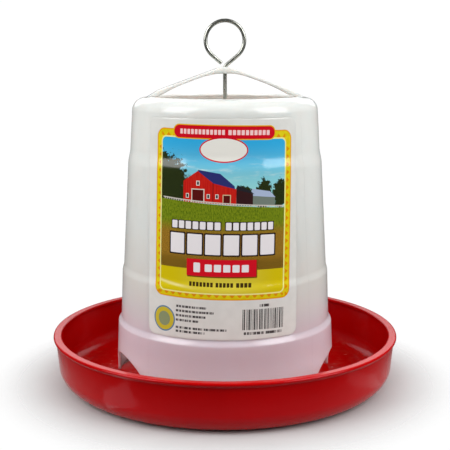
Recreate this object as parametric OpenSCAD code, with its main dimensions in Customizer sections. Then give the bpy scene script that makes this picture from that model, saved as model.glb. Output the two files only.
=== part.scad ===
// Hanging gravity feeder for poultry: a round pan with a feed cone, an open-topped hopper that stands
// in it, a bent wire hanger down the axis and a printed label.
// The origin is on the pan's axis at its underside, +Z is up and +X runs along the hopper's bridge.
// All lengths are in millimetres and all angles in degrees.

/* [Pan] */
// Outer diameter of the pan over its lip
pan_d = 230; // [224:1:250]
// Height of the pan from its underside to the top of its lip
pan_h = 33; // [30:1:42]
// Thickness of the pan's floor, cone and wall
pan_wall = 2.2; // [1.8:0.1:2.8]
// Width of the lip that reaches inward from the pan's edge
lip_w = 5.6; // [4:0.1:8]
// Height of the hub on top of the feed cone
hub_z = 45; // [42:1:52]

/* [Hopper] */
// Height of the hopper's filling rim above the pan's underside
rim_z = 189; // [186:1:215]
// Radius of the filling opening
opening_r = 46.8; // [44:0.2:50]
// Wall thickness of the hopper
hopper_wall = 1.8; // [1.4:0.1:2.2]
// Width of one feed arch at its foot
arch_w = 62; // [48:1:64]
// Height of the feed arches above the hopper's foot
arch_h = 20; // [16:0.5:24]
// Angle from the front to the side arches
arch_turn = 71; // [66:1:74]

/* [Bridge] */
// Width of the bridge that crosses the filling opening
bridge_w = 12; // [10:0.5:16]
// Thickness of the bridge's two arms
bridge_t = 1.9; // [1.5:0.1:2.4]
// Height of the bridge's hub above the filling rim
bridge_rise = 18.6; // [16:0.2:22]

/* [Hanger wire] */
// Diameter of the wire
wire_d = 2.5; // [2:0.1:2.8]
// Radius of the hanging ring, measured to the middle of the wire
ring_r = 12.6; // [10:0.1:15]
// Angle of the ring's two legs above level
leg_angle = 40; // [36:1:46]
// Length of the foot that turns under the pan's hub
foot_len = 8; // [7:0.5:8.5]

/* [Label] */
// Width of the label round the hopper
label_w = 100; // [80:1:104]
// Height of the label's lower edge
label_bottom = 44.6; // [44.6:0.2:60]
// Height of the label's upper edge
label_top = 178; // [150:1:179]
// Angle from the front to the middle of the label
label_turn = -6.2; // [-12:0.2:12]

/* [Hidden] */
$fn = 96;

// Pan
pan_r = pan_d / 2;
lip_in = pan_r - lip_w;
lip_t = 2.4;
lip_round = 1.2;
wall_top_r = pan_r - 1.6;
wall_foot_r = pan_r - 3.2;
wall_t = 2;
wall_bend = 13;
floor_bend = 11;
cone_foot = [70.8, 5];
hub_r = 11;
hub_round = 1.2;
hole_r = 1.9;
slot_w = 3.4;
slot_end = 8.8;

// Hopper: radius and height of each end of its straight stretches, from the foot to the shoulder
rest_gap = 0.4;
skirt_foot = [73.4, pan_wall + rest_gap];
skirt_top = [71.7, 40.2];
lower_foot = [69.6, 44.6];
lower_top = [68.5, 74];
middle_foot = [67.3, 80.5];
middle_top = [63.6, 145];
upper_foot = [61.9, 157];
upper_top = [60.5, rim_z - 9.2];
shoulder_bend = 8.5;
shoulder_slope = 10;
step_points = 12;
arch_points = 40;
arch_reach = 25;
arch_drop = 1;

// Bridge
bridge_top_z = rim_z + bridge_rise;
bridge_under_z = bridge_top_z - 4.2;
bridge_hub_r = 6.3;
bridge_crown = 3.3;
bridge_foot = [43.4, rim_z + 4.1];
bridge_slope = (bridge_foot[1] - bridge_top_z) / (bridge_foot[0] - bridge_crown);
bridge_hole_r = 1.6;

// Wire
wire_r = wire_d / 2;
wire_gap = 0.4;
ring_z = rim_z + 35.6;
fork_z = ring_z - ring_r / cos(leg_angle);
leg_turn = 90 - leg_angle;
leg_len = ring_r * tan(leg_angle);
neck_bend = 3;
neck_cut = neck_bend * tan(leg_turn / 2);
neck_z = fork_z - neck_cut;
loose_end = 2.9;
foot_bend = 2.75;
foot_z = hub_z - pan_wall - wire_gap - wire_r;

// Label
label_t = 0.2;
label_corner = 5;
label_spread = 60;

// Point on a circle about centre c
function on_circle(c, r, a) = c + r * [cos(a), sin(a)];

// Points along an arc from angle a0 to angle a1
function arc(c, r, a0, a1, count = 12) = [for (i = [0 : count]) on_circle(c, r, a0 + (a1 - a0) * i / count)];

// Points between two ends of a smooth step that is upright at both of them
function smooth_step(a, b) = [
    for (i = [1 : step_points - 1])
        let (t = i / step_points)
        [a[0] + (b[0] - a[0]) * (1 - cos(180 * t)) / 2, a[1] + (b[1] - a[1]) * t]
];

// Unit vector square to a path at point i, on the left of the way that it runs
function left_of(path, i) =
    let (
        a = path[max(i - 1, 0)],
        b = path[min(i + 1, len(path) - 1)],
        d = (b - a) / norm(b - a)
    )
    [-d[1], d[0]];

// The same path moved to its left by t
function moved(path, t) = [for (i = [0 : len(path) - 1]) path[i] + t * left_of(path, i)];

// List turned end to end
function turned(list) = [for (i = [len(list) - 1 : -1 : 0]) list[i]];

// Half of the straight width across a strip that is wrapped round a wall of radius r
function half_chord(width, r) = r * sin(width / 2 / r * 180 / PI);

// Outer outline of the hopper's wall, from its foot to the shoulder
function wall_outline() = concat(
    [skirt_foot, skirt_top],
    smooth_step(skirt_top, lower_foot),
    [lower_foot, lower_top],
    smooth_step(lower_top, middle_foot),
    [middle_foot, middle_top],
    smooth_step(middle_top, upper_foot),
    [upper_foot, upper_top]
);

// Outline of the shoulder, from the wall's top to the filling rim
function shoulder_outline() = concat(
    arc(upper_top - [shoulder_bend, 0], shoulder_bend, 6, 90 - shoulder_slope),
    [[opening_r, rim_z]]
);

// Outline of the pan's top side, from the hub to the underside of the lip's outer edge
function pan_top_outline() = concat(
    [[0, hub_z]],
    arc([hub_r - hub_round, hub_z - hub_round], hub_round, 90, 34, 4),
    [cone_foot, [cone_foot[0], pan_wall]],
    arc([wall_foot_r - wall_t - floor_bend, pan_wall + floor_bend], floor_bend, 270, 360, 16),
    [[wall_top_r - wall_t, pan_h - lip_t]],
    arc([lip_in + lip_round, pan_h - lip_round], lip_round, 270, 90, 8),
    arc([pan_r - lip_round, pan_h - lip_round], lip_round, 90, -60, 8)
);

// Outline of the pan's underside, from below the lip to the middle of the hollow cone
function pan_under_outline() =
    let (
        run = cone_foot[0] - hub_r,
        slope = (hub_z - cone_foot[1]) / run,
        drop = pan_wall * norm([1, slope])
    )
    concat(
        [[wall_top_r, pan_h - lip_t - lip_round / 3]],
        arc([wall_foot_r - wall_bend, wall_bend], wall_bend, 360, 270, 16),
        [
            [cone_foot[0] - pan_wall, 0],
            [cone_foot[0] - pan_wall, cone_foot[1] - drop + pan_wall * slope],
            [hub_r - (drop - pan_wall) / slope, hub_z - pan_wall],
            [0, hub_z - pan_wall]
        ]
    );

// Pan, lip and hollow feed cone, with the slotted hole that the wire's foot drops through
module feed_pan() {
    color("firebrick")
    difference() {
        rotate_extrude()
        polygon(concat(pan_top_outline(), pan_under_outline()));
        translate([0, 0, hub_z - 2 * pan_wall])
        cylinder(h = 3 * pan_wall, r = hole_r);
        translate([0, -slot_w / 2, hub_z - 2 * pan_wall])
        cube([slot_end, slot_w, 3 * pan_wall]);
    }
}

// Height of the bridge's top side at a distance from the axis
function bridge_height(x) = bridge_top_z + bridge_slope * (x - bridge_crown);

// One arm of the bridge, from the axis to its flared foot in the shoulder, as an outline in X and Z
function arm_outline() = [
    [0, bridge_top_z],
    [bridge_crown, bridge_top_z],
    bridge_foot,
    [opening_r - 0.7, rim_z + 2.3],
    [opening_r + 2.5, rim_z + 0.6],
    [opening_r + 4.6, rim_z - 1],
    [opening_r + 0.6, rim_z - 1.4],
    [opening_r - 0.6, rim_z - 0.6],
    [opening_r - 3.8, rim_z + 0.2],
    [opening_r - 6.8, rim_z + 1.6],
    [opening_r - 10.8, rim_z + 4],
    [opening_r - 18.8, bridge_height(opening_r - 18.8) - bridge_t * 1.1],
    [bridge_hub_r + 8, bridge_height(bridge_hub_r + 8) - bridge_t * 1.1],
    [bridge_hub_r + 2, bridge_under_z - 0.5],
    [bridge_hub_r - 1, bridge_under_z],
    [0, bridge_under_z]
];

// Both arms and the round hub that the wire passes through
module bridge() {
    difference() {
        union() {
            for (side = [0, 180])
                rotate([0, 0, side])
                rotate([90, 0, 0])
                translate([0, 0, -bridge_w / 2])
                linear_extrude(bridge_w)
                polygon(arm_outline());
            rotate_extrude()
            polygon([
                [0, bridge_under_z],
                [bridge_hub_r, bridge_under_z],
                [bridge_hub_r, bridge_height(bridge_hub_r) - 0.2],
                [bridge_crown, bridge_top_z],
                [0, bridge_top_z]
            ]);
        }
        translate([0, 0, bridge_under_z - 5])
        cylinder(h = bridge_top_z - bridge_under_z + 10, r = bridge_hole_r);
    }
}

// Cutter for one feed arch, a half ellipse that stands on the hopper's foot on the +X side
module feed_arch() {
    foot_z = skirt_foot[1];
    rotate([90, 0, 90])
    translate([0, 0, skirt_foot[0] - arch_reach])
    linear_extrude(2 * arch_reach)
    polygon(concat(
        [for (i = [0 : arch_points])
            let (a = 180 * i / arch_points)
            [arch_w / 2 * cos(a), foot_z + arch_h * sin(a)]],
        [[-arch_w / 2, foot_z - arch_drop], [arch_w / 2, foot_z - arch_drop]]
    ));
}

module hopper() {
    outer = concat(wall_outline(), shoulder_outline());
    color("ghostwhite")
    union() {
        difference() {
            rotate([0, 0, 45])
            rotate_extrude()
            polygon(concat(outer, turned(moved(outer, hopper_wall))));
            for (a = [-90 - arch_turn, -90 + arch_turn, 90])
                rotate([0, 0, a])
                feed_arch();
        }
        bridge();
    }
}

// Half of the hanging ring on the +X side, with the straight leg below it
module ring_half(leg) {
    translate([0, 0, ring_z])
    rotate([90, 0, 0])
    rotate([0, 0, leg_angle - 90])
    union() {
        rotate_extrude(angle = 180 - leg_angle)
        translate([ring_r, 0])
        circle(wire_r);
        translate([ring_r, 0, 0])
        rotate([90, 0, 0])
        cylinder(h = leg, r = wire_r);
    }
}

// Bend of radius r from the upright rod at height z towards +X
module rod_bend(z, r, start, sweep) {
    translate([r, 0, z])
    rotate([90, 0, 0])
    rotate([0, 0, start])
    rotate_extrude(angle = sweep)
    translate([r, 0])
    circle(wire_r);
}

// One bent wire: ring, neck, upright rod and the foot at its lower end
module hanger_wire() {
    color("silver")
    union() {
        ring_half(leg_len - neck_cut);
        rotate([0, 0, 180])
        ring_half(leg_len - loose_end);
        rod_bend(neck_z, neck_bend, 180 - leg_turn, leg_turn);
        translate([0, 0, foot_z + foot_bend])
        cylinder(h = neck_z - foot_z - foot_bend, r = wire_r);
        rod_bend(foot_z + foot_bend, foot_bend, 180, 90);
        translate([foot_bend, 0, foot_z])
        rotate([0, 90, 0])
        cylinder(h = foot_len - foot_bend, r = wire_r);
    }
}

// Rectangle with rounded corners, wrapped round the front of the hopper's wall
module front_label() {
    outer = wall_outline();
    top = [half_chord(label_w, upper_top[0]) - label_corner, label_top - label_corner];
    foot = [half_chord(label_w, lower_foot[0]) - label_corner, label_bottom + label_corner];
    color("gold")
    rotate([0, 0, label_turn])
    intersection() {
        rotate([0, 0, -90 - label_spread])
        rotate_extrude(angle = 2 * label_spread)
        polygon(concat(moved(outer, -label_t), turned(outer)));
        rotate([90, 0, 0])
        linear_extrude(pan_r)
        polygon(concat(
            arc(foot, label_corner, -90, 0, 8),
            arc(top, label_corner, 0, 90, 8),
            arc([-top[0], top[1]], label_corner, 90, 180, 8),
            arc([-foot[0], foot[1]], label_corner, 180, 270, 8)
        ));
    }
}

feed_pan();
hopper();
hanger_wire();
front_label();
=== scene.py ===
import math

import bmesh
import bpy
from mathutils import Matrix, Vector


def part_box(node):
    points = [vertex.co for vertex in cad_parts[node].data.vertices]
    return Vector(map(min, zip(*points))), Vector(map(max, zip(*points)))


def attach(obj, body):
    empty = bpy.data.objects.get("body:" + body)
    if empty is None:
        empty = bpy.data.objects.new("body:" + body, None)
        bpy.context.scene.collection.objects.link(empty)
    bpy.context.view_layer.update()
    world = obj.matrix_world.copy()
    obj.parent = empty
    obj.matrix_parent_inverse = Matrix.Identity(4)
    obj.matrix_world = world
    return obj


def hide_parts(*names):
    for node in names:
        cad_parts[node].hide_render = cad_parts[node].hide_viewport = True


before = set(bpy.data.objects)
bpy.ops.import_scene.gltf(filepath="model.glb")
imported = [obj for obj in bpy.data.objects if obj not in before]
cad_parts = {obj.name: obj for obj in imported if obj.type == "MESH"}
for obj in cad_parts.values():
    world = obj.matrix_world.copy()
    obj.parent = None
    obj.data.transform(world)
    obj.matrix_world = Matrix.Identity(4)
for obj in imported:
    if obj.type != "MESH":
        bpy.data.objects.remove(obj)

MM = 0.001
TAU = 2 * math.pi
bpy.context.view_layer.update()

# ---------------------------------------------------------------- sizes, read from the frame or as in the CAD
PAN_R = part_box("feed_pan")[1][0] / MM
HUB_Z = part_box("feed_pan")[1][2] / MM
BRIDGE_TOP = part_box("hopper")[1][2] / MM
WIRE_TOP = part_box("hanger_wire")[1][2] / MM
PAN_H = 33.0
PAN_WALL = 2.2
LIP_IN = PAN_R - 5.6
LIP_CURVE = 1.2
PAN_BEND = 13.0
PAN_BEND_X = PAN_R - 16.2
HUB_R = 11.0
HUB_ROOF = 42.8
HUB_HOLE_R = 1.9
SLOT_END = 8.8
SLOT_HALF = 1.7
CONE_FOOT = (70.8, 5.0)
RIM_Z = BRIDGE_TOP - 18.6
OPENING_R = 46.8
SHOULDER_BEND = 8.5
BRIDGE_CROWN = 3.3
BRIDGE_FOOT = (43.4, RIM_Z + 4.1)
BRIDGE_END = 51.4
BRIDGE_HALF = 6.0
BRIDGE_HUB_R = 6.3
BRIDGE_HOLE_R = 1.6
BRIDGE_CURVE = 0.55
HOPPER_WALL = 1.8
FOOT = (73.4, 2.6)
SKIRT_TOP = (71.7, 40.2)
STRETCHES = [(69.6, 44.6), (68.5, 74.0), (67.3, 80.5), (63.6, 145.0), (61.9, 157.0), (60.5, RIM_Z - 9.2)]
ARCH_HALF = 31.0
ARCH_H = 20.0
ARCH_ANGLES = [-161.0, -19.0, 90.0]
WIRE_R = 1.25
RING_R = 12.6
RING_Z = WIRE_TOP - RING_R - WIRE_R
LEG_ANGLE = 40.0
LOOSE_END = 2.9
NECK_BEND = 3.0
FOOT_BEND = 2.75
FOOT_END = 8.0
FOOT_GAP = 0.4
LABEL_TURN = -96.2
LABEL_HALF = 50.0
LABEL_Z = (44.6, 178.0)
LABEL_MID = 111.0


# ---------------------------------------------------------------- outlines
def arc(cx, cy, r, a0, a1, count):
    """Points along an arc, angles in degrees."""
    steps = [math.radians(a0 + (a1 - a0) * i / count) for i in range(count + 1)]
    return [(cx + r * math.cos(a), cy + r * math.sin(a)) for a in steps]


def smooth_step(a, b, count=14):
    """Points between two ends of a step that is upright at both of them."""
    out = []
    for i in range(1, count):
        t = i / count
        out.append((a[0] + (b[0] - a[0]) * (1 - math.cos(math.pi * t)) / 2, a[1] + (b[1] - a[1]) * t))
    return out


def rounded(points, radius, closed=False, sharp=20.0, count=3):
    """The same path with each sharp corner turned into a short curve."""
    out = []
    n = len(points)
    for i, p in enumerate(points):
        if not closed and i in (0, n - 1):
            out.append(p)
            continue
        a, b, c = Vector(points[i - 1]), Vector(p), Vector(points[(i + 1) % n])
        if (b - a).length < 1e-6 or (c - b).length < 1e-6 or math.degrees((b - a).angle(c - b)) < sharp:
            out.append(p)
            continue
        cut = min(radius, 0.45 * (b - a).length, 0.45 * (c - b).length)
        start, end = b + (a - b).normalized() * cut, b + (c - b).normalized() * cut
        for k in range(count + 1):
            t = k / count
            out.append(tuple((1 - t) ** 2 * start + 2 * t * (1 - t) * b + t * t * end))
    return out


def moved(path, t):
    """The path moved to its left by t."""
    out = []
    for i, p in enumerate(path):
        a, b = path[max(i - 1, 0)], path[min(i + 1, len(path) - 1)]
        d = (Vector(b) - Vector(a)).normalized()
        out.append((p[0] - d.y * t, p[1] + d.x * t))
    return out


def wall_outline():
    """Outer outline of the hopper's wall above its skirt."""
    out = [SKIRT_TOP] + smooth_step(SKIRT_TOP, STRETCHES[0]) + STRETCHES[:2]
    out += smooth_step(STRETCHES[1], STRETCHES[2]) + STRETCHES[2:4]
    return out + smooth_step(STRETCHES[3], STRETCHES[4]) + STRETCHES[4:]


WALL = [FOOT] + wall_outline()


def wall_radius(z):
    """Outer radius of the hopper's wall at a height."""
    for (r0, z0), (r1, z1) in zip(WALL, WALL[1:]):
        if z <= z1:
            return r0 + (r1 - r0) * max(z - z0, 0.0) / (z1 - z0)
    return WALL[-1][0]


# ---------------------------------------------------------------- meshes
def make_mesh(name, points, faces, material, body, uvs=None):
    """One smooth-shaded piece that rides on a body. Points come in millimetres."""
    mesh = bpy.data.meshes.new(name)
    mesh.from_pydata([(x * MM, y * MM, z * MM) for x, y, z in points], [], faces)
    mesh.validate()
    shells = bmesh.new()
    shells.from_mesh(mesh)
    bmesh.ops.recalc_face_normals(shells, faces=shells.faces)
    shells.to_mesh(mesh)
    shells.free()
    mesh.polygons.foreach_set("use_smooth", [True] * len(mesh.polygons))
    if uvs is not None:
        layer = mesh.uv_layers.new(name="art")
        for loop in mesh.loops:
            layer.data[loop.index].uv = uvs[loop.vertex_index]
    mesh.materials.append(material)
    piece = bpy.data.objects.new(name, mesh)
    bpy.context.scene.collection.objects.link(piece)
    weighted = piece.modifiers.new("flat faces stay flat", "WEIGHTED_NORMAL")
    weighted.mode = "FACE_AREA_WITH_ANGLE"
    weighted.weight = 60
    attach(piece, body)
    return piece


def loft(columns, closed_path, closed_section=True):
    """Points and quads of a skin through columns of equal length."""
    n, m = len(columns), len(columns[0])
    points = [p for column in columns for p in column]
    faces = []
    for i in range(n if closed_path else n - 1):
        j = (i + 1) % n
        for k in range(m if closed_section else m - 1):
            q = (k + 1) % m
            faces.append((i * m + k, j * m + k, j * m + q, i * m + q))
    return points, faces


def add_part(points, faces, more_points, more_faces):
    """Adds one closed shell to another."""
    base = len(points)
    points.extend(more_points)
    faces.extend(tuple(base + i for i in face) for face in more_faces)


def lathe(outline, count, shift=0.0):
    """A closed outline of (radius, height) turned about Z."""
    columns = []
    for i in range(count):
        a = TAU * i / count + shift
        columns.append([(r * math.cos(a), r * math.sin(a), z) for r, z in outline])
    return loft(columns, True)


# ---------------------------------------------------------------- node helpers
class Tree:
    """Short names for building a material's nodes."""

    def __init__(self, name):
        self.material = bpy.data.materials.new(name)
        self.material.use_nodes = True
        self.nodes = self.material.node_tree.nodes
        self.links = self.material.node_tree.links
        self.shader = self.nodes["Principled BSDF"]

    def put(self, value, socket):
        if hasattr(value, "is_output") and value.is_output:
            self.links.new(value, socket)
        elif isinstance(value, (tuple, list)) and len(value) == 3 and socket.type == "RGBA":
            socket.default_value = (*value, 1.0)
        else:
            socket.default_value = value

    def set(self, **values):
        for key, value in values.items():
            self.put(value, self.shader.inputs[key.replace("_", " ")])

    def math(self, operation, a, b=0.0, c=0.0, clamp=False):
        node = self.nodes.new("ShaderNodeMath")
        node.operation = operation
        node.use_clamp = clamp
        for socket, value in zip(node.inputs, (a, b, c)):
            self.put(value, socket)
        return node.outputs[0]

    def vector(self, operation, a, b=(0.0, 0.0, 0.0)):
        node = self.nodes.new("ShaderNodeVectorMath")
        node.operation = operation
        self.put(a, node.inputs[0])
        self.put(b, node.inputs[1])
        return node.outputs["Value"] if operation in ("LENGTH", "DOT_PRODUCT") else node.outputs[0]

    def mix(self, factor, a, b):
        node = self.nodes.new("ShaderNodeMix")
        node.data_type = "RGBA"
        first, second = [socket for socket in node.inputs if socket.type == "RGBA"]
        self.put(factor, node.inputs["Factor"])
        self.put(a, first)
        self.put(b, second)
        return [socket for socket in node.outputs if socket.type == "RGBA"][0]

    def place(self, scale=(1.0, 1.0, 1.0)):
        """Object coordinates, in metres, times a scale."""
        coords = self.nodes.new("ShaderNodeTexCoord")
        return self.vector("MULTIPLY", coords.outputs["Object"], scale)

    def split(self, vector):
        node = self.nodes.new("ShaderNodeSeparateXYZ")
        self.put(vector, node.inputs[0])
        return node.outputs[0], node.outputs[1], node.outputs[2]

    def noise(self, vector, scale, detail=3.0, rough=0.5, distort=0.0):
        node = self.nodes.new("ShaderNodeTexNoise")
        self.put(vector, node.inputs["Vector"])
        node.inputs["Scale"].default_value = scale
        node.inputs["Detail"].default_value = detail
        node.inputs["Roughness"].default_value = rough
        node.inputs["Distortion"].default_value = distort
        return node.outputs[0]

    def cells(self, vector, scale):
        node = self.nodes.new("ShaderNodeTexVoronoi")
        self.put(vector, node.inputs["Vector"])
        node.inputs["Scale"].default_value = scale
        return node

    def ramp(self, value, low, high, out_low=0.0, out_high=1.0):
        node = self.nodes.new("ShaderNodeMapRange")
        node.interpolation_type = "SMOOTHSTEP"
        self.put(value, node.inputs["Value"])
        for key, number in (("From Min", low), ("From Max", high), ("To Min", out_low), ("To Max", out_high)):
            node.inputs[key].default_value = number
        return node.outputs[0]

    def bump(self, height, strength, distance, after=None):
        node = self.nodes.new("ShaderNodeBump")
        node.inputs["Strength"].default_value = strength
        node.inputs["Distance"].default_value = distance
        self.put(height, node.inputs["Height"])
        if after is not None:
            self.put(after, node.inputs["Normal"])
        return node.outputs[0]


def srgb(r, g, b):
    """Linear colour of a screen colour given as 0 to 255."""
    shares = (r / 255, g / 255, b / 255)
    return tuple(c / 12.92 if c <= 0.04045 else ((c + 0.055) / 1.055) ** 2.4 for c in shares)


# ---------------------------------------------------------------- materials
def pan_plastic():
    """Glossy red moulded plastic with fine scuffs and a little dust low down."""
    t = Tree("pan plastic")
    place = t.place()
    z = t.split(place)[2]
    cloud = t.noise(place, 14.0, 4.0, 0.55)
    grain = t.noise(place, 900.0, 2.0, 0.6)
    base = t.mix(t.ramp(cloud, 0.35, 0.7), srgb(172, 0, 0), srgb(182, 0, 1))
    scuffs = t.noise(t.place((40.0, 40.0, 700.0)), 3.0, 5.0, 0.7, 0.6)
    scuff = t.ramp(scuffs, 0.66, 0.74, 0.0, 0.35)
    base = t.mix(scuff, base, srgb(214, 44, 50))
    dust = t.math("MULTIPLY", t.ramp(z, 0.0145, 0.0025), t.ramp(t.noise(place, 160.0, 6.0, 0.7), 0.45, 0.8))
    inside = t.math("LESS_THAN", t.vector("LENGTH", t.vector("MULTIPLY", place, (1.0, 1.0, 0.0))), 0.1085)
    dust = t.math("MULTIPLY", t.math("MULTIPLY", dust, inside), 0.16)
    base = t.mix(dust, base, srgb(150, 110, 84))
    rough = t.math("ADD", t.ramp(cloud, 0.3, 0.7, 0.11, 0.17), t.math("MULTIPLY", scuff, 0.3))
    rough = t.math("ADD", rough, t.math("MULTIPLY", dust, 1.2), clamp=True)
    height = t.math("ADD", t.noise(place, 60.0, 2.0, 0.5), t.math("MULTIPLY", grain, 0.12))
    t.set(Base_Color=base, Roughness=rough, Normal=t.bump(height, 0.35, 0.0006))
    t.shader.inputs["IOR"].default_value = 1.42
    t.shader.inputs["Specular IOR Level"].default_value = 0.3
    t.shader.inputs["Specular Tint"].default_value = (1.0, 0.72, 0.88, 1.0)
    return t.material


def hopper_plastic():
    """Translucent natural plastic: milky white, with painted red light from the pan in its lower part."""
    t = Tree("hopper plastic")
    place = t.place()
    z = t.split(place)[2]
    cloud = t.noise(place, 22.0, 4.0, 0.6)
    flow = t.noise(t.place((30.0, 30.0, 5.0)), 2.4, 4.0, 0.6, 0.4)
    milk = t.mix(t.ramp(cloud, 0.3, 0.75), srgb(233, 233, 226), srgb(226, 226, 219))
    milk = t.mix(t.ramp(flow, 0.45, 0.75, 0.0, 0.35), milk, srgb(236, 236, 231))
    # painted light: a warmer, slightly darker tint from 120 mm down, and a pink band strongest near 36 mm
    # that fades out by 75 mm above and 10 mm below, stand in for red light thrown up from the pan
    painted_faint_pan_light = t.mix(t.ramp(z, 0.07, 0.12), srgb(224, 218, 210), milk)
    painted_pan_light = t.mix(t.ramp(z, 0.036, 0.075), srgb(213, 194, 203), painted_faint_pan_light)
    pink = t.mix(t.ramp(z, 0.01, 0.036), srgb(230, 222, 230), painted_pan_light)
    specks = t.cells(place, 220.0).outputs["Distance"]
    speck = t.math("MULTIPLY", t.ramp(specks, 0.05, 0.03), t.ramp(t.noise(place, 34.0), 0.6, 0.7, 0.0, 0.5))
    base = t.mix(speck, pink, srgb(176, 164, 148))
    scratch = t.ramp(t.noise(t.place((160.0, 160.0, 1400.0)), 1.0, 4.0, 0.7, 0.8), 0.67, 0.74, 0.0, 1.0)
    rough = t.math("ADD", t.ramp(cloud, 0.3, 0.7, 0.12, 0.17), t.math("MULTIPLY", scratch, 0.14))
    height = t.math("ADD", t.noise(place, 45.0, 3.0, 0.5), t.math("MULTIPLY", t.noise(place, 1100.0), 0.06))
    t.set(Base_Color=base, Roughness=rough, Normal=t.bump(height, 0.3, 0.0006))
    t.shader.inputs["IOR"].default_value = 1.52
    t.shader.inputs["Subsurface Weight"].default_value = 0.9
    t.shader.inputs["Subsurface Radius"].default_value = (1.0, 0.85, 0.8)
    t.shader.inputs["Subsurface Scale"].default_value = 0.008
    return t.material


def wire_metal():
    """Galvanised wire: grey metal with a dull zinc bloom and drawing lines along it."""
    t = Tree("galvanised wire")
    place = t.place()
    bloom = t.noise(place, 240.0, 5.0, 0.65)
    lines = t.noise(t.place((2600.0, 2600.0, 60.0)), 1.0, 2.0, 0.5)
    base = t.mix(t.ramp(bloom, 0.35, 0.7), srgb(196, 197, 188), srgb(158, 160, 152))
    rough = t.math("ADD", t.ramp(bloom, 0.3, 0.7, 0.2, 0.36), t.math("MULTIPLY", lines, 0.06))
    t.set(Base_Color=base, Roughness=rough, Normal=t.bump(t.math("ADD", lines, bloom), 0.25, 0.00012))
    t.shader.inputs["Metallic"].default_value = 1.0
    return t.material


PAN = pan_plastic()
HOPPER = hopper_plastic()
WIRE = wire_metal()


# ---------------------------------------------------------------- pan
def slot_reach(a):
    """Distance from the axis to the edge of the hub's slotted hole, in the direction a."""
    a = abs((a + math.pi) % TAU - math.pi)
    if a < math.atan2(SLOT_HALF, SLOT_END):
        return SLOT_END / math.cos(a)
    if a < math.asin(SLOT_HALF / HUB_HOLE_R):
        return SLOT_HALF / math.sin(a)
    return HUB_HOLE_R


def pan_outline():
    """The pan's section, from the hub's top round the lip to the hollow under the hub."""
    slope = (HUB_Z - CONE_FOOT[1]) / (CONE_FOOT[0] - HUB_R)
    drop = PAN_WALL * math.hypot(1.0, slope)
    top = arc(HUB_R - LIP_CURVE, HUB_Z - LIP_CURVE, LIP_CURVE, 90, 34, 5)
    top += rounded([top[-1], CONE_FOOT, (CONE_FOOT[0], PAN_WALL), (72.5, PAN_WALL)], 0.5)[1:]
    top += [(85.0, PAN_WALL)] + arc(PAN_BEND_X, PAN_WALL + 11.0, 11.0, 270, 360, 20)
    top += rounded([(PAN_R - 5.2, 14.0), (PAN_R - 3.6, 30.6), (LIP_IN + LIP_CURVE, 30.6)], 0.8)[1:-1]
    top += arc(LIP_IN + LIP_CURVE, PAN_H - LIP_CURVE, LIP_CURVE, 270, 90, 10)
    top += arc(PAN_R - LIP_CURVE, PAN_H - LIP_CURVE, LIP_CURVE, 90, -60, 10)
    under = rounded([top[-1], (PAN_R - 1.6, 30.2), (PAN_R - 1.9, 27.0)], 0.5)[1:]
    under += arc(PAN_BEND_X, PAN_BEND, PAN_BEND, 360, 270, 24)
    hollow = [under[-1], (68.6, 0.0), (68.6, CONE_FOOT[1] - drop + PAN_WALL * slope)]
    hollow += [(HUB_R - (drop - PAN_WALL) / slope, HUB_ROOF), (9.5, HUB_ROOF)]
    return top + under + rounded(hollow, 0.6)[1:]


def build_pan():
    """The pan, its cone and its hub in one skin, with the slotted hole through the hub's roof."""
    outline = pan_outline()
    corners = [math.atan2(SLOT_HALF, SLOT_END), math.asin(SLOT_HALF / HUB_HOLE_R)]
    angles = sorted([TAU * i / 240 for i in range(240)] + corners + [TAU - c for c in corners])
    columns = []
    for a in angles:
        hole = slot_reach(a)
        rim = [(hole, HUB_ROOF + 0.3), (hole, HUB_Z - 0.35), (hole + 0.1, HUB_Z - 0.1), (hole + 0.35, HUB_Z)]
        end = [(hole + 0.35, HUB_ROOF), (hole + 0.1, HUB_ROOF + 0.1)]
        columns.append([(r * math.cos(a), r * math.sin(a), z) for r, z in rim + outline + end])
    points, faces = loft(columns, True)
    piece = make_mesh("feed_pan_moulding", points, faces, PAN, "feed_pan")
    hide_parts("feed_pan")


# ---------------------------------------------------------------- hopper
def arch_columns():
    """Angle, foot height and edge direction of each column of the hopper's shell, in turn about Z."""
    reach = math.asin(ARCH_HALF / FOOT[0])
    steps = 44
    columns = []
    for index, middle in enumerate(ARCH_ANGLES):
        centre = math.radians(middle)
        for i in range(steps + 1):
            a = math.pi * (1 - i / steps)
            turn = math.asin(ARCH_HALF * math.cos(a) / FOOT[0])
            side = Vector((math.cos(a) / ARCH_HALF, math.sin(a) / ARCH_H)).normalized()
            if i in (0, steps):
                side = Vector((-1.0 if i == 0 else 1.0, 1.0)).normalized()
            columns.append((centre + turn, FOOT[1] + ARCH_H * math.sin(a), side.x, side.y))
        following = math.radians(ARCH_ANGLES[(index + 1) % 3]) + (TAU if index == 2 else 0.0)
        start, end = centre + reach, following - reach
        count = max(4, round((end - start) / math.radians(1.8)))
        columns += [(start + (end - start) * i / count, FOOT[1], 0.0, 1.0) for i in range(1, count)]
    return columns


def height_on(path, x):
    """Height of a path that runs outward, at a distance from the axis."""
    for (x0, z0), (x1, z1) in zip(path, path[1:]):
        if x <= x1:
            return z0 + (z1 - z0) * (x - x0) / (x1 - x0)
    return path[-1][1]


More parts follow.
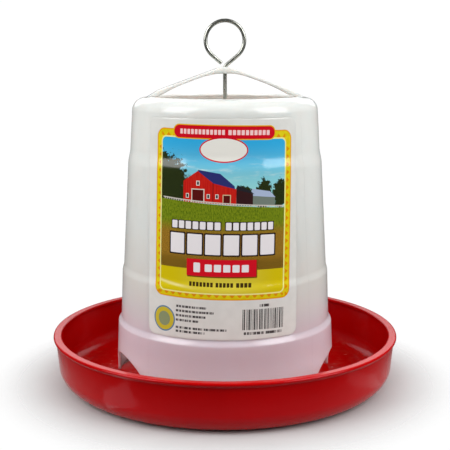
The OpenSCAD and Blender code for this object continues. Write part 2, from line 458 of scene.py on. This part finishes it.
def bridge():
    """The bridge in one closed skin: a strap between the shoulders, thicker round the wire's hole."""
    fall = (BRIDGE_FOOT[1] - BRIDGE_TOP) / (BRIDGE_FOOT[0] - BRIDGE_CROWN)
    top = [(0.0, BRIDGE_TOP), (BRIDGE_CROWN, BRIDGE_TOP), BRIDGE_FOOT]
    top += [(46.1, RIM_Z + 2.3), (49.3, RIM_Z + 0.6), (BRIDGE_END, RIM_Z - 1.0)]
    top = rounded(top, 3.0, sharp=5.0, count=6)
    under = [(0.0, BRIDGE_TOP - 4.2), (5.3, BRIDGE_TOP - 4.2), (8.3, BRIDGE_TOP - 4.7)]
    under += [(x, BRIDGE_TOP + fall * (x - BRIDGE_CROWN) - 2.09) for x in (14.3, 28.0)]
    under += [(36.0, RIM_Z + 4.0), (40.0, RIM_Z + 1.6), (43.0, RIM_Z + 0.2)]
    under += [(46.2, RIM_Z - 0.6), (BRIDGE_END, RIM_Z - 1.4)]
    under = rounded(under, 2.0, sharp=2.0, count=4)

    def half_width(x):
        flare = 0.8 * max(0.0, (x - 43.0) / 8.0) ** 2
        return max(BRIDGE_HALF + flare, math.sqrt(max(BRIDGE_HUB_R ** 2 - x * x, 0.0)))

    edge = [0.0, 0.7, 1.3, 1.92, 2.6, 3.3, 4.2, 5.2, 6.4, 8.0] + [10.0 + 2.0 * i for i in range(18)]
    edge += [45.0 + 0.8 * i for i in range(8)]
    corner = [(x, half_width(x)) for x in edge]
    tip = [(51.2, half_width(51.2) * t) for t in (0.66, 0.33, 0.0)]
    quarter = corner + tip
    border = quarter[::-1][:-1] + [(-x, y) for x, y in quarter]
    border += [(x, -y) for x, y in border[::-1][1:-1]]
    columns = []
    for x, y in border:
        reach = math.hypot(x, y)
        hole = (BRIDGE_HOLE_R * x / reach, BRIDGE_HOLE_R * y / reach)
        upper, lower = [], []
        for i in range(29):
            t = (i / 28) ** 1.15
            side = max(abs(y) - BRIDGE_CURVE, 0.0) * (1 if y > 0 else -1)
            px, py = hole[0] + (x - hole[0]) * t, hole[1] + (side - hole[1]) * t
            upper.append((px, py, height_on(top, abs(px))))
            lower.append((px, py, height_on(under, abs(px))))
        high, low = height_on(top, abs(x)), height_on(under, abs(x))
        curve = min(BRIDGE_CURVE, (high - low) * 0.3)
        rim = []
        for k in (30, 60, 90):
            off = BRIDGE_CURVE * (1 - math.sin(math.radians(k)))
            drop = curve * (1 - math.cos(math.radians(k)))
            rim.append((x, y - math.copysign(min(off, abs(y)), y), high - drop))
        back = [(px, py, low + high - pz) for px, py, pz in rim[::-1]]
        columns.append(upper + rim + back + lower[::-1])
    return loft(columns, True)


def build_hopper():
    """The hopper: a shell with rounded arches in its foot, and the bridge across its opening."""
    shoulder = arc(STRETCHES[5][0] - SHOULDER_BEND, STRETCHES[5][1], SHOULDER_BEND, 6, 80, 16)
    upper = wall_outline() + shoulder + [(OPENING_R, RIM_Z)]
    inner = moved(upper, HOPPER_WALL)
    shell = rounded(upper + inner[::-1], 0.7, sharp=35.0)
    edge = 0.45
    rows = 9

    def skirt_radius(z):
        return FOOT[0] + (SKIRT_TOP[0] - FOOT[0]) * (z - FOOT[1]) / (SKIRT_TOP[1] - FOOT[1])

    columns = []
    for angle, low, side, up in arch_columns():
        section = []

        def put(off, depth, z=None):
            height = low + up * off if z is None else z
            section.append((angle + side * min(off, edge) / FOOT[0], skirt_radius(height) - depth, height))

        base = low + up * edge
        for i in range(rows):
            put(edge, 0.0, base + (SKIRT_TOP[1] - base) * i / rows)
        section += [(angle + side * edge / FOOT[0], r, z) for r, z in shell]
        for i in range(rows - 1, -1, -1):
            put(edge, HOPPER_WALL, base + (SKIRT_TOP[1] - base) * i / rows)
        for a in (30, 60, 90):
            put(edge * (1 - math.sin(math.radians(a))), HOPPER_WALL - edge * (1 - math.cos(math.radians(a))))
        for a in (90, 60, 30):
            put(edge * (1 - math.sin(math.radians(a))), edge * (1 - math.cos(math.radians(a))))
        columns.append([(r * math.cos(a), r * math.sin(a), z) for a, r, z in section])
    points, faces = loft(columns, True)
    add_part(points, faces, *bridge())
    piece = make_mesh("hopper_moulding", points, faces, HOPPER, "hopper")
    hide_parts("hopper")


# ---------------------------------------------------------------- hanger
def wire_path():
    """Middle line of the wire in X and Z, from its loose end round the ring and down to its foot."""
    lean = math.radians(LEG_ANGLE)
    turn = 90.0 - LEG_ANGLE
    fork = RING_Z - RING_R / math.cos(lean)
    down = (-math.cos(lean), -math.sin(lean))
    path = [(-LOOSE_END * math.cos(lean), fork + LOOSE_END * math.sin(lean))]
    path += arc(0.0, RING_Z, RING_R, 180 + turn, -turn, 96)
    cut = NECK_BEND * math.tan(math.radians(turn / 2))
    path.append((-down[0] * cut, fork - down[1] * cut))
    path += arc(NECK_BEND, fork - cut, NECK_BEND, 180 - turn, 180, 10)[1:]
    foot = HUB_ROOF - FOOT_GAP - WIRE_R
    steps = 24
    path += [(0.0, fork - cut + (foot + FOOT_BEND - fork + cut) * i / steps) for i in range(1, steps)]
    path += arc(FOOT_BEND, foot + FOOT_BEND, FOOT_BEND, 180, 270, 12)
    return path + [(FOOT_END, foot)]


def build_wire():
    """The bent wire: one tube along its middle line, with softly rounded cut ends."""
    path = wire_path()
    sides = 28
    columns = []
    for i, (x, z) in enumerate(path):
        a, b = path[max(i - 1, 0)], path[min(i + 1, len(path) - 1)]
        d = (Vector(b) - Vector(a)).normalized()
        section = []
        for k in range(sides):
            t = TAU * k / sides
            out = WIRE_R * math.cos(t)
            section.append((x - d.y * out, WIRE_R * math.sin(t), z + d.x * out))
        columns.append(section)

    def cap(column, centre, outward):
        """Sections that turn a cut end into a slightly rounded one, inside the wire's own length."""
        out = []
        for shrink, back in ((1.0, 0.3), (0.93, 0.1), (0.78, 0.0)):
            out.append([tuple(c + (p - c) * shrink - o * back for p, c, o in zip(point, centre, outward))
                        for point in column])
        return out

    ends = []
    for i, j in ((0, 1), (-1, -2)):
        centre = (path[i][0], 0.0, path[i][1])
        d = (Vector((path[i][0], 0.0, path[i][1])) - Vector((path[j][0], 0.0, path[j][1]))).normalized()
        ends.append(cap(columns[i], centre, tuple(d)))
    columns = ends[0][::-1] + columns[1:-1] + ends[1]
    points, faces = loft(columns, False)
    faces.append(tuple(range(sides)))
    faces.append(tuple(len(points) - 1 - i for i in range(sides)))
    piece = make_mesh("hanger_wire_bent", points, faces, WIRE, "hanger_wire")
    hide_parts("hanger_wire")


# ---------------------------------------------------------------- label
class Ink(Tree):
    """Flat shapes printed on the label. Its coordinates are millimetres from the label's middle."""

    def __init__(self, name):
        super().__init__(name)
        art = self.nodes.new("ShaderNodeUVMap")
        art.uv_map = "art"
        self.at = self.vector("MULTIPLY", art.outputs[0], (100.0, 100.0, 0.0))
        self.p, self.q, _ = self.split(self.at)

    def edge(self, distance, soft=0.12):
        """1 where the distance is negative, with a thin soft edge."""
        return self.math("MULTIPLY_ADD", distance, -1.0 / soft, 0.5, clamp=True)

    def box(self, x0, x1, y0, y1, r=0.0, soft=0.12, at=None):
        size = ((x1 - x0) / 2 - r, (y1 - y0) / 2 - r, 0.0)
        off = self.vector("SUBTRACT", at or self.at, ((x0 + x1) / 2, (y0 + y1) / 2, 0.0))
        out = self.vector("MAXIMUM", self.vector("SUBTRACT", self.vector("ABSOLUTE", off), size))
        return self.edge(self.math("SUBTRACT", self.vector("LENGTH", out), r + soft / 2), soft)

    def blocks(self, x0, x1, y0, y1, count, gap, r, grow=0.0):
        """A row of equal plain blocks with a gap after each, each one grown by a margin."""
        pitch = (x1 - x0 + gap) / count
        turn = self.math("FRACT", self.math("MULTIPLY_ADD", self.p, 1 / pitch, (gap / 2 - x0) / pitch))
        node = self.nodes.new("ShaderNodeCombineXYZ")
        self.put(self.math("MULTIPLY", turn, pitch), node.inputs[0])
        self.put(self.q, node.inputs[1])
        start, end = gap / 2 - grow, pitch - gap / 2 + grow
        cell = self.box(start, end, y0 - grow, y1 + grow, r + grow / 2, at=node.outputs[0])
        return self.both(cell, self.box(x0 - grow - 0.1, x1 + grow + 0.1, y0 - 9.0, y1 + 9.0))

    def oval(self, x, y, a, b, soft=0.02, wobble=None):
        off = self.vector("MULTIPLY", self.vector("SUBTRACT", self.at, (x, y, 0.0)), (1 / a, 1 / b, 0.0))
        distance = self.math("SUBTRACT", self.vector("LENGTH", off), 1.0)
        if wobble is not None:
            distance = self.math("ADD", distance, wobble)
        return self.edge(distance, soft)

    def shape(self, *corners, soft=0.15):
        """Convex shape with its corners given anticlockwise."""
        result = None
        for (x0, y0), (x1, y1) in zip(corners, corners[1:] + corners[:1]):
            d = Vector((x1 - x0, y1 - y0)).normalized()
            side = self.vector("DOT_PRODUCT", self.at, (d.y, -d.x, 0.0))
            mask = self.edge(self.math("SUBTRACT", side, d.y * x0 - d.x * y0), soft)
            result = mask if result is None else self.math("MINIMUM", result, mask)
        return result

    def either(self, a, b):
        return self.math("MAXIMUM", a, b)

    def both(self, a, b):
        return self.math("MULTIPLY", a, b)


def farm_picture(t):
    """A plain farm scene of sky, trees, barn, sheds, fence and a hay field."""
    leaf = t.noise(t.at, 0.42, 5.0, 0.7)
    fine = t.noise(t.at, 2.6, 4.0, 0.7)
    sky = t.mix(t.ramp(t.q, 18.0, 55.0), srgb(156, 222, 218), srgb(46, 170, 224))
    cloud = t.noise(t.vector("MULTIPLY", t.at, (0.35, 1.6, 0.0)), 0.16, 4.0, 0.6)
    high = t.both(t.ramp(t.q, 26.0, 38.0), t.ramp(t.q, 47.0, 38.0))
    sky = t.mix(t.both(t.ramp(cloud, 0.5, 0.75, 0.0, 0.7), high), sky, srgb(226, 236, 232))
    wobble = t.math("MULTIPLY_ADD", leaf, 1.7, -0.85)
    small = t.math("MULTIPLY_ADD", fine, 0.5, -0.25)
    wobble = t.math("ADD", wobble, small)
    woods = t.oval(-34.0, 26.0, 13.0, 18.0, 0.05, wobble)
    for x, y, a, b in ((-40.0, 38.0, 7.0, 9.0), (25.5, 22.0, 5.5, 9.0),
                       (37.0, 22.5, 6.0, 8.5), (13.0, 23.0, 5.0, 4.2)):
        woods = t.either(woods, t.oval(x, y, a, b, 0.05, wobble))
    leaves = t.mix(t.ramp(fine, 0.4, 0.68), srgb(14, 20, 10), srgb(62, 76, 22))
    picture = t.mix(woods, sky, leaves)
    planks = t.ramp(t.noise(t.vector("MULTIPLY", t.at, (3.0, 0.1, 0.0)), 1.0, 1.0), 0.4, 0.6)
    barn_red = t.mix(planks, srgb(190, 22, 14), srgb(206, 34, 22))
    gable = t.shape((-24.0, 17.0), (-5.6, 16.6), (-5.6, 29.2), (-14.8, 36.0), (-24.0, 29.6))
    side = t.shape((-5.6, 16.6), (8.4, 15.8), (8.4, 25.6), (-5.6, 29.2))
    shed = t.shape((8.4, 15.8), (18.6, 15.4), (18.6, 22.6), (8.4, 26.2))
    roof = t.shape((-5.4, 28.8), (7.6, 25.6), (7.2, 27.4), (-1.4, 34.6), (-15.0, 36.6), (-14.4, 35.4))
    far = t.shape((17.4, 16.0), (33.0, 15.0), (33.0, 20.4), (17.4, 22.0))
    far_roof = t.shape((17.0, 21.6), (33.4, 20.2), (29.4, 24.0), (18.0, 25.8))
    picture = t.mix(far, picture, srgb(116, 128, 118))
    picture = t.mix(far_roof, picture, srgb(170, 186, 214))
    picture = t.mix(shed, picture, srgb(52, 24, 26))
    picture = t.mix(t.shape((8.0, 25.4), (19.6, 22.4), (16.4, 24.8), (9.0, 28.0)), picture, srgb(34, 34, 40))
    picture = t.mix(t.either(gable, side), picture, barn_red)
    picture = t.mix(t.box(-5.9, -5.3, 17.0, 29.0), picture, srgb(150, 20, 14))
    picture = t.mix(roof, picture, srgb(44, 48, 112))
    doors = t.box(-18.2, -11.4, 17.4, 24.6)
    doors = t.either(doors, t.box(0.8, 4.6, 16.8, 21.6))
    picture = t.mix(t.box(-18.8, -10.8, 17.2, 25.2), picture, srgb(222, 210, 196))
    picture = t.mix(t.box(0.3, 5.1, 16.6, 22.1), picture, srgb(214, 190, 150))
    picture = t.mix(doors, picture, srgb(88, 14, 12))
    for x in (-21.4, -8.4, -3.2):
        picture = t.mix(t.box(x - 0.9, x + 0.9, 19.6, 22.2), picture, srgb(226, 222, 214))
        picture = t.mix(t.box(x - 0.5, x + 0.5, 20.0, 21.8), picture, srgb(36, 34, 40))
    picture = t.mix(t.box(-15.8, -13.8, 27.2, 30.0), picture, srgb(226, 222, 214))
    picture = t.mix(t.box(-15.3, -14.3, 27.7, 29.5), picture, srgb(36, 34, 40))
    slope = t.math("MULTIPLY_ADD", t.p, 0.055, t.q)
    posts = t.math("FRACT", t.math("MULTIPLY", t.p, 0.62))
    rails = t.both(t.edge(t.math("SUBTRACT", slope, 17.3)), t.math("GREATER_THAN", slope, 15.9))
    fence = t.both(rails, t.either(t.math("GREATER_THAN", slope, 16.7), t.math("LESS_THAN", posts, 0.4)))
    picture = t.mix(t.both(fence, t.box(-38.0, 40.5, 10.0, 22.0)), picture, srgb(206, 200, 190))
    grass = t.noise(t.vector("MULTIPLY", t.at, (1.0, 0.35, 0.0)), 1.5, 5.0, 0.75)
    green = t.mix(t.ramp(grass, 0.35, 0.65), srgb(78, 104, 8), srgb(134, 150, 22))
    straw = t.mix(t.ramp(fine, 0.35, 0.65), srgb(84, 62, 8), srgb(190, 142, 44))
    field = t.mix(t.ramp(t.q, 7.0, -3.0), green, straw)
    low = t.mix(t.ramp(fine, 0.4, 0.62), srgb(50, 50, 6), srgb(170, 124, 34))
    field = t.mix(t.ramp(t.q, -13.0, -20.0), field, low)
    return t.mix(t.edge(t.math("SUBTRACT", slope, 15.9)), picture, field)


def label_paper():
    """The printed label: a yellow frame with triangles round a farm scene, blocks for its wording, and a
    painted highlight on its yellow band.
    """
    t = Ink("printed label")
    paper = t.mix(t.ramp(t.noise(t.at, 0.12, 3.0), 0.3, 0.7), srgb(225, 225, 220), srgb(219, 219, 214))
    gold = t.mix(t.ramp(t.noise(t.at, 0.3, 3.0), 0.35, 0.65), srgb(214, 196, 0), srgb(226, 206, 16))
    orange = srgb(226, 158, 0)
    ink = t.mix(t.box(-43.6, 44.8, -41.6, 60.4, 5.5), paper, orange)
    ink = t.mix(t.box(-42.8, 44.0, -40.8, 59.6, 4.8), ink, gold)
    # triangles that point outward along all four sides of the frame
    for along, across, sign, start, reach in ((t.p, t.q, -1.0, -38.4, 40.0), (t.p, t.q, 1.0, 56.0, 40.0),
                                             (t.q, t.p, -1.0, -40.0, 52.0), (t.q, t.p, 1.0, 41.2, 52.0)):
        saw = t.math("FRACT", t.math("DIVIDE", along, 4.65))
        saw = t.math("ABSOLUTE", t.math("MULTIPLY_ADD", saw, 2.0, -1.0))
        out = t.math("MULTIPLY_ADD", across, sign, -start * sign)
        tooth = t.edge(t.math("MULTIPLY_ADD", saw, 3.0, t.math("SUBTRACT", out, 2.2)), 0.3)
        within = t.math("LESS_THAN", t.math("ABSOLUTE", along), reach)
        inside = t.both(t.math("GREATER_THAN", out, 0.0), within)
        ink = t.mix(t.both(t.both(tooth, inside), t.box(-42.0, 43.2, -40.0, 58.8)), ink, srgb(220, 140, 0))
    ink = t.mix(t.box(-40.2, 40.6, -38.3, 55.9, 3.4), ink, srgb(240, 236, 150))
    middle = t.ramp(t.math("ABSOLUTE", t.math("SUBTRACT", t.p, 2.0)), 34.0, 4.0)
    band = t.mix(middle, srgb(212, 192, 0), srgb(218, 202, 62))
    # painted highlight: a pale curved streak over the left of the yellow band, at the height of the wall's
    # step near 75 mm, stands in for a light mirrored in that step
    bow = t.math("MULTIPLY_ADD", t.math("MULTIPLY", t.p, t.p), 0.0022, -35.6)
    glow = t.ramp(t.math("ABSOLUTE", t.math("SUBTRACT", t.q, bow)), 1.5, 0.0, 0.0, 0.5)
    glow = t.both(glow, t.ramp(t.p, -10.0, -34.0))
    band = t.mix(glow, band, srgb(250, 246, 190))
    view = t.mix(t.math("LESS_THAN", t.q, -23.3), farm_picture(t), band)
    ink = t.mix(t.box(-39.4, 39.8, -37.5, 55.1, 2.8), ink, view)
    # rows of plain blocks in the place of the wording
    dark = srgb(40, 26, 24)
    white = srgb(238, 234, 236)
    for x0, x1, y0, y1, count, gap, grow in ((-31.2, -0.8, 0.9, 5.4, 7, 1.1, 0.5),
                                            (2.6, 32.0, 0.9, 5.4, 7, 1.1, 0.5),
                                            (-32.2, 33.0, -14.2, -2.2, 6, 2.2, 0.9)):
        ink = t.mix(t.blocks(x0, x1, y0, y1, count, gap, 0.3, grow), ink, dark)
        ink = t.mix(t.blocks(x0, x1, y0, y1, count, gap, 0.5), ink, white)
    ink = t.mix(t.box(-20.6, 22.0, -28.0, -17.6, 0.3, 0.5), ink, srgb(110, 60, 10))
    ink = t.mix(t.box(-21.2, 21.6, -27.4, -17.2, 0.2), ink, srgb(212, 10, 32))
    ink = t.mix(t.box(-16.8, -12.8, -25.2, -19.4, 0.7), ink, white)
    ink = t.mix(t.blocks(-9.8, 16.8, -24.6, -20.2, 5, 1.4, 0.5), ink, white)
    for x0, x1, count in ((-19.4, -4.8, 7), (-3.0, 7.4, 5), (9.4, 18.6, 4)):
        ink = t.mix(t.blocks(x0, x1, -33.8, -31.2, count, 0.7, 0.2), ink, srgb(64, 48, 10))
    ink = t.mix(t.box(-31.4, 32.6, 54.7, 63.3, 4.0), ink, srgb(230, 178, 10))
    ink = t.mix(t.box(-30.8, 32.0, 55.3, 62.7, 3.6), ink, srgb(206, 2, 28))
    for x0, x1, count in ((-26.6, 0.8, 12), (3.0, 28.4, 10)):
        ink = t.mix(t.blocks(x0, x1, 57.6, 60.4, count, 0.8, 0.2), ink, srgb(246, 206, 206))
    ink = t.mix(t.oval(0.4, 48.6, 14.7, 7.6), ink, srgb(206, 8, 34))
    ink = t.mix(t.oval(0.4, 48.6, 13.9, 6.8), ink, srgb(234, 232, 224))
    # plain roundel, dashes and bars below the frame
    ink = t.mix(t.oval(-36.4, -56.0, 7.8, 8.0), ink, srgb(96, 132, 160))
    ink = t.mix(t.oval(-36.4, -56.0, 6.9, 7.1), ink, srgb(204, 184, 52))
    ink = t.mix(t.oval(-36.4, -56.0, 4.3, 4.5, 0.04), ink, srgb(140, 150, 110))
    dashes = t.noise(t.vector("MULTIPLY", t.at, (1.1, 0.02, 0.0)), 1.0, 2.0, 0.8)
    dashes = t.ramp(dashes, 0.44, 0.49, 0.1, 0.95)
    grey = srgb(52, 46, 48)
    for y, x1 in ((-47.0, -8.6), (-49.8, -4.0), (-52.7, -8.8), (-55.6, -13.4), (-60.2, 4.0), (-62.6, -9.4)):
        ink = t.mix(t.both(t.box(-28.0, x1, y - 0.65, y + 0.65, 0.3), dashes), ink, grey)
    ink = t.mix(t.both(t.box(24.2, 31.0, -46.0, -44.4, 0.3), dashes), ink, grey)
    bars = t.noise(t.vector("MULTIPLY", t.at, (1.0, 0.0, 0.0)), 1.25, 2.0, 0.9)
    ink = t.mix(t.both(t.box(13.4, 40.6, -60.0, -47.4), t.ramp(bars, 0.495, 0.505)), ink, srgb(14, 12, 14))
    ink = t.mix(t.both(t.box(14.6, 39.4, -63.0, -61.4, 0.3), dashes), ink, grey)
    cloud = t.noise(t.at, 0.08, 3.0)
    fibre = t.noise(t.at, 6.0, 3.0, 0.6)
    rough = t.math("ADD", t.ramp(cloud, 0.3, 0.7, 0.07, 0.12), t.math("MULTIPLY", fibre, 0.04))
    height = t.math("ADD", t.noise(t.at, 0.05, 2.0), t.math("MULTIPLY", fibre, 0.03))
    t.set(Base_Color=ink, Roughness=rough, Normal=t.bump(height, 0.3, 0.0006))
    t.shader.inputs["IOR"].default_value = 1.5
    return t.material


def build_label():
    """A thin sheet wrapped round the front of the hopper's wall, with rounded corners."""
    corner = 5.0
    tilt = 0.0165
    low, high = LABEL_Z
    across = [-LABEL_HALF + corner * (1 - math.cos(math.radians(9 * i))) for i in range(11)]
    across += [-LABEL_HALF + corner + 90.0 * i / 60 for i in range(1, 60)]
    across += [-u for u in across[:11]][::-1]
    rows = 110
    points, uvs = [], []
    for lift in (0.03, 0.19):
        for u in across:
            inset = corner - math.sqrt(max(corner ** 2 - max(abs(u) - LABEL_HALF + corner, 0.0) ** 2, 0.0))
            for k in range(rows + 1):
                z = low + inset + (high - low - 2 * inset) * k / rows
                r = wall_radius(z)
                a = math.radians(LABEL_TURN) + u / r
                points.append(((r + lift) * math.cos(a), (r + lift) * math.sin(a), z))
                uvs.append(((u - tilt * (z - LABEL_MID)) / 100, (z - LABEL_MID + tilt * u) / 100))
    n, m = len(across), rows + 1
    back = n * m
    faces = []
    for i in range(n - 1):
        for k in range(rows):
            a, b = i * m + k, (i + 1) * m + k
            faces.append((a, a + 1, b + 1, b))
            faces.append((back + a, back + b, back + b + 1, back + a + 1))
    border = [i * m for i in range(n)] + [(n - 1) * m + k for k in range(1, m)]
    border += [i * m + m - 1 for i in range(n - 2, -1, -1)] + [k for k in range(m - 2, 0, -1)]
    for a, b in zip(border, border[1:] + border[:1]):
        faces.append((a, b, back + b, back + a))
    piece = make_mesh("front_label_sheet", points, faces, label_paper(), "hopper", uvs)
    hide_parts("front_label")


# ---------------------------------------------------------------- floor, light and camera
def build_floor():
    """A pale floor that fades into the white surroundings away from the feeder."""
    t = Tree("pale floor")
    place = t.place()
    grain = t.noise(place, 30.0, 3.0)
    t.set(Base_Color=t.mix(t.ramp(grain, 0.3, 0.7), (0.5, 0.5, 0.5), (0.48, 0.48, 0.48)), Roughness=0.8)
    t.set(Alpha=t.ramp(t.vector("LENGTH", place), 0.165, 0.105))
    mesh = bpy.data.meshes.new("floor")
    rim = [(0.4 * math.cos(TAU * i / 96), 0.4 * math.sin(TAU * i / 96), -0.0002) for i in range(96)]
    mesh.from_pydata(rim, [], [tuple(range(96))])
    mesh.materials.append(t.material)
    floor = bpy.data.objects.new("floor", mesh)
    bpy.context.scene.collection.objects.link(floor)


def panel(name, place, facing, width, height, power):
    """A rectangular light at a place, facing one way."""
    data = bpy.data.lights.new(name, "AREA")
    data.shape = "RECTANGLE"
    data.size = width
    data.size_y = height
    data.energy = power
    light = bpy.data.objects.new(name, data)
    light.location = place
    light.rotation_euler = Vector(facing).to_track_quat("-Z", "Y").to_euler()
    light.visible_camera = False
    bpy.context.scene.collection.objects.link(light)
    return light


def softbox(name, azimuth, elevation, distance, width, height, power, mirrored=True):
    """An area light round the feeder. Azimuth 0 is the camera's side, and positive is to its right."""
    a = math.radians(azimuth - 4.45)
    e = math.radians(elevation)
    out = Vector((math.sin(a) * math.cos(e), -math.cos(a) * math.cos(e), math.sin(e)))
    light = panel(name, Vector((0.0, 0.0, 0.11)) + out * distance, -out, width, height, power)
    light.visible_glossy = mirrored


def build_light():
    """Soft lights on all sides, and dim white surroundings."""
    softbox("left softbox", -63.0, 31.0, 1.1, 0.72, 0.78, 8.8)
    softbox("right softbox", 63.0, 31.0, 1.1, 0.72, 0.78, 9.0)
    softbox("left rear softbox", -115.0, 24.0, 1.1, 0.7, 0.7, 3.0, mirrored=False)
    softbox("right rear softbox", 115.0, 24.0, 1.1, 0.7, 0.7, 3.0, mirrored=False)
    softbox("top softbox", 0.0, 72.0, 1.3, 1.1, 0.9, 7.0, mirrored=False)
    softbox("back softbox", 180.0, 26.0, 1.3, 1.8, 0.7, 5.6)
    # small glowing cards on the floor, which only mirror in the pan's outside
    for name, x, y, width, height, glow in (("left card", -0.098, -0.092, 0.034, 0.03, 2.2),
                                            ("right card", 0.12, -0.07, 0.02, 0.05, 0.9)):
        card = panel(name, (x, y, 0.001), (0.0, 0.0, 1.0), width, height, glow * width * height)
        card.visible_diffuse = False
        card.visible_transmission = False
    # the surroundings: white to the camera, dim as a light, and dimmer still in reflections
    world = bpy.data.worlds.new("studio")
    world.use_nodes = True
    nodes, links = world.node_tree.nodes, world.node_tree.links
    path = nodes.new("ShaderNodeLightPath")
    strength = nodes.new("ShaderNodeMapRange")
    strength.inputs["To Min"].default_value = 0.22
    strength.inputs["To Max"].default_value = 1.02
    links.new(path.outputs["Is Camera Ray"], strength.inputs["Value"])
    dimmed = nodes.new("ShaderNodeMath")
    dimmed.operation = "MULTIPLY_ADD"
    dimmed.inputs[1].default_value = -0.13
    links.new(path.outputs["Is Glossy Ray"], dimmed.inputs[0])
    links.new(strength.outputs[0], dimmed.inputs[2])
    links.new(dimmed.outputs[0], nodes["Background"].inputs["Strength"])
    nodes["Background"].inputs["Color"].default_value = (1.0, 1.0, 1.0, 1.0)
    bpy.context.scene.world = world
    bpy.context.scene.view_settings.view_transform = "Standard"


def build_camera():
    """The camera, in front and a little above."""
    data = bpy.data.cameras.new("camera")
    data.lens = 76.2
    data.sensor_width = 36.0
    camera = bpy.data.objects.new("camera", data)
    camera.location = (-0.0486, -0.6248, 0.2143)
    camera.rotation_euler = (math.radians(79.97), 0.0, math.radians(-4.45))
    bpy.context.scene.collection.objects.link(camera)
    bpy.context.scene.camera = camera


build_pan()
build_hopper()
build_wire()
build_label()
build_floor()
build_light()
build_camera()
